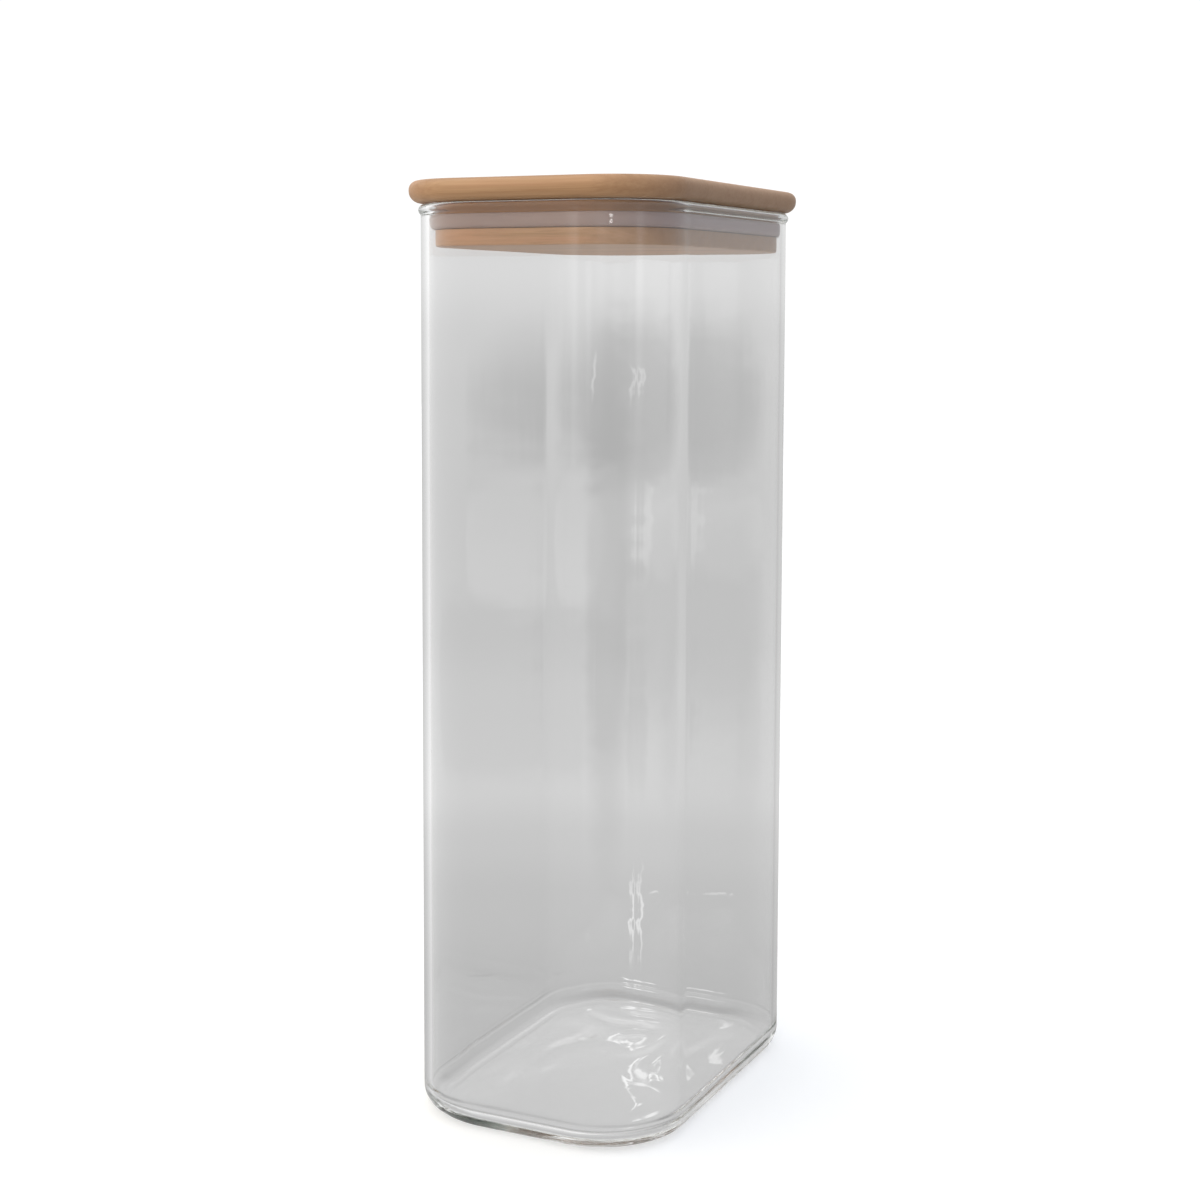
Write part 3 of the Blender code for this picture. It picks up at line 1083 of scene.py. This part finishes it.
def add_surround(stage):
    """Studio surround: white behind the jar, soft greys in what the glass shows, and the light."""
    world = bpy.data.worlds.new("studio_surround")
    bpy.context.scene.world = world
    world.use_nodes = True
    tree = world.node_tree
    tree.nodes.clear()
    way = add_node(tree, "ShaderNodeTexCoord").outputs["Generated"]
    depth = dot(tree, way, CAMERA_AHEAD)
    side = dot(tree, way, CAMERA_RIGHT)
    rise = dot(tree, way, (0, 0, 1))
    path = add_node(tree, "ShaderNodeLightPath")
    low, high = GREYS[0][0], GREYS[-1][0]
    share = add_node(
        tree, "ShaderNodeMapRange", inputs={"Value": rise, "From Min": low, "From Max": high}
    ).outputs[0]
    greys, shade = (
        ramp(
            tree, share, *(((height - low) / (high - low), grey) for height, grey in row),
            interpolation="EASE",
        )
        for row in (GREYS, LOW_SHADE)
    )
    bent = math_node(tree, "GREATER_THAN", path.outputs["Ray Depth"], STRAIGHT_CROSSINGS + 0.5)
    greys = mixed_colour(tree, bent, greys, shade, blend="MULTIPLY")
    turn = math_node(tree, "ARCTAN2", side, depth)
    turn = math_node(tree, "MULTIPLY_ADD", turn, 0.5 / math.pi, 0.5)
    drift = stretched_noise(tree, way, DRIFT_SCALE, Detail=1.0)
    tone = math_node(tree, "MULTIPLY_ADD", drift, DRIFT, 1 - DRIFT / 2)
    tone = math_node(tree, "MULTIPLY", tone, ramp(tree, turn, *ROUND_TONES))
    ahead_depth = math_node(tree, "MAXIMUM", depth, LEAST_DEPTH)
    sideways = math_node(tree, "DIVIDE", side, ahead_depth)
    upwards = math_node(tree, "DIVIDE", rise, ahead_depth)
    sight = add_node(tree, "ShaderNodeCombineXYZ", inputs={0: sideways, 1: upwards}).outputs[0]
    stray = stretched_noise(tree, sight, STRAY_SCALE, Detail=2.0)
    stray = math_node(tree, "MULTIPLY_ADD", stray, SIGHT_STRAY, -SIGHT_STRAY / 2)
    sideways = math_node(tree, "ADD", sideways, stray)
    upwards = math_node(tree, "ADD", upwards, stray)
    sight = add_node(tree, "ShaderNodeCombineXYZ", inputs={0: sideways, 1: upwards}).outputs[0]
    for spot in SPOTS_BEHIND:
        tone = math_node(tree, "MULTIPLY", tone, soft_spot(tree, sight, spot))
    around = add_node(tree, "ShaderNodeCombineXYZ", inputs={0: turn, 1: rise}).outputs[0]
    for window in WINDOWS:
        tone = math_node(tree, "MULTIPLY", tone, soft_spot(tree, around, window))
    greys = mixed_colour(tree, 1.0, greys, tone, blend="MULTIPLY")
    lean = math_node(tree, "MULTIPLY_ADD", side, 0.5, 0.5)
    light = mixed_colour(tree, lean, stage.left, stage.right)
    lift = math_node(tree, "MULTIPLY_ADD", rise, LIFT, 1.0)
    light = mixed_colour(tree, 1.0, light, lift, blend="MULTIPLY")
    lit = math_node(tree, "GREATER_THAN", path.outputs["Diffuse Depth"], 0.5)
    studio = add_node(
        tree, "ShaderNodeBackground", inputs={"Color": mixed_colour(tree, lit, greys, light)}
    )
    white = add_node(
        tree, "ShaderNodeBackground", inputs={"Color": (1, 1, 1, 1), "Strength": BACKDROP}
    )
    both = add_node(
        tree, "ShaderNodeMixShader",
        inputs={0: path.outputs["Is Camera Ray"], 1: studio.outputs[0], 2: white.outputs[0]},
    )
    output = add_node(tree, "ShaderNodeOutputWorld")
    tree.links.new(both.outputs[0], output.inputs["Surface"])


def hang(name, light):
    """Hang a lamp that lights the jar and that its glass doesn't show."""
    lamp = bpy.data.objects.new(name, light)
    lamp.visible_glossy = False
    lamp.visible_transmission = False
    bpy.context.scene.collection.objects.link(lamp)
    return lamp


def add_panel(name, where, aim, size, colour, power):
    """A soft rectangular light that points at a place."""
    light = bpy.data.lights.new(name, "AREA")
    light.shape = "RECTANGLE"
    light.size, light.size_y = size
    light.energy = power
    light.color = colour
    way = Vector(aim) - Vector(where)
    turned = way.to_track_quat("-Z", "Y").to_matrix().to_4x4()
    hang(name, light).matrix_world = Matrix.Translation(where) @ turned


def add_sky(stage):
    """A broad light overhead, which keeps the floor pale out to its far edge."""
    light = bpy.data.lights.new("sky_panel", "SUN")
    light.energy = stage.top
    light.angle = SKY_SPREAD
    hang("sky_panel", light).rotation_euler = SKY_TILT


def add_camera():
    """The camera at the photograph's place and angle."""
    camera = bpy.data.cameras.new("photo_camera")
    camera.sensor_fit = "HORIZONTAL"
    camera.sensor_width = SENSOR
    camera.lens = FOCAL_PIXELS * SENSOR / PICTURE_PIXELS
    camera.shift_y = (AXIS_PIXELS_DOWN - PICTURE_PIXELS / 2) / PICTURE_PIXELS
    camera.clip_start = 0.01
    right, up, looking = camera_axes()
    matrix = Matrix((right, up, -looking)).transposed().to_4x4()
    matrix.translation = Vector((0, 0, CAMERA_HEIGHT)) - CAMERA_DISTANCE * CAMERA_AHEAD
    holder = bpy.data.objects.new("photo_camera", camera)
    holder.matrix_world = matrix
    bpy.context.scene.collection.objects.link(holder)
    bpy.context.scene.camera = holder


class PANTRYJAR_OT_stage(bpy.types.Operator):
    """Set up the floor, the surround, the lights and the camera"""

    bl_idname = "pantryjar.stage"
    bl_label = "Stage"

    def execute(self, context):
        stage = context.scene.pantryjar_stage
        add_floor(stage)
        add_surround(stage)
        add_panel("key_light", *KEY_LIGHT, stage.key)
        add_panel("bounce", *BOUNCE, stage.bounce)
        add_sky(stage)
        add_camera()
        context.scene.view_settings.view_transform = "Standard"
        context.scene.cycles.max_bounces = MOST_BOUNCES
        context.scene.cycles.transmission_bounces = MOST_BOUNCES
        context.scene.cycles.glossy_bounces = MOST_BOUNCES
        return {"FINISHED"}


class PANTRYJAR_PT_panel(bpy.types.Panel):
    """Lists the steps and the settings of the pantry jar"""

    bl_idname = "PANTRYJAR_PT_panel"
    bl_label = "Pantry Jar"
    bl_space_type = "VIEW_3D"
    bl_region_type = "UI"
    bl_category = "Pantry Jar"

    def draw(self, context):
        layout = self.layout
        for operator in OPERATORS:
            layout.operator(operator.bl_idname)
        for name, settings in SETTINGS:
            box = layout.box()
            group = getattr(context.scene, name)
            for key in settings.__annotations__:
                box.prop(group, key)


SETTINGS = (
    ("pantryjar_glass", GlassSettings),
    ("pantryjar_lid", LidSettings),
    ("pantryjar_seal", SealSettings),
    ("pantryjar_stage", StageSettings),
)
OPERATORS = (
    PANTRYJAR_OT_glass,
    PANTRYJAR_OT_cap,
    PANTRYJAR_OT_plug,
    PANTRYJAR_OT_seal,
    PANTRYJAR_OT_stage,
)


def register():
    for name, settings in SETTINGS:
        bpy.utils.register_class(settings)
        setattr(bpy.types.Scene, name, PointerProperty(type=settings))
    for operator in OPERATORS:
        bpy.utils.register_class(operator)
    bpy.utils.register_class(PANTRYJAR_PT_panel)


def unregister():
    bpy.utils.unregister_class(PANTRYJAR_PT_panel)
    for operator in reversed(OPERATORS):
        bpy.utils.unregister_class(operator)
    for name, settings in reversed(SETTINGS):
        delattr(bpy.types.Scene, name)
        bpy.utils.unregister_class(settings)


def main():
    register()
    bpy.ops.pantryjar.glass()
    bpy.ops.pantryjar.cap()
    bpy.ops.pantryjar.plug()
    bpy.ops.pantryjar.seal()
    bpy.ops.pantryjar.stage()


if __name__ == "__main__":
    main()
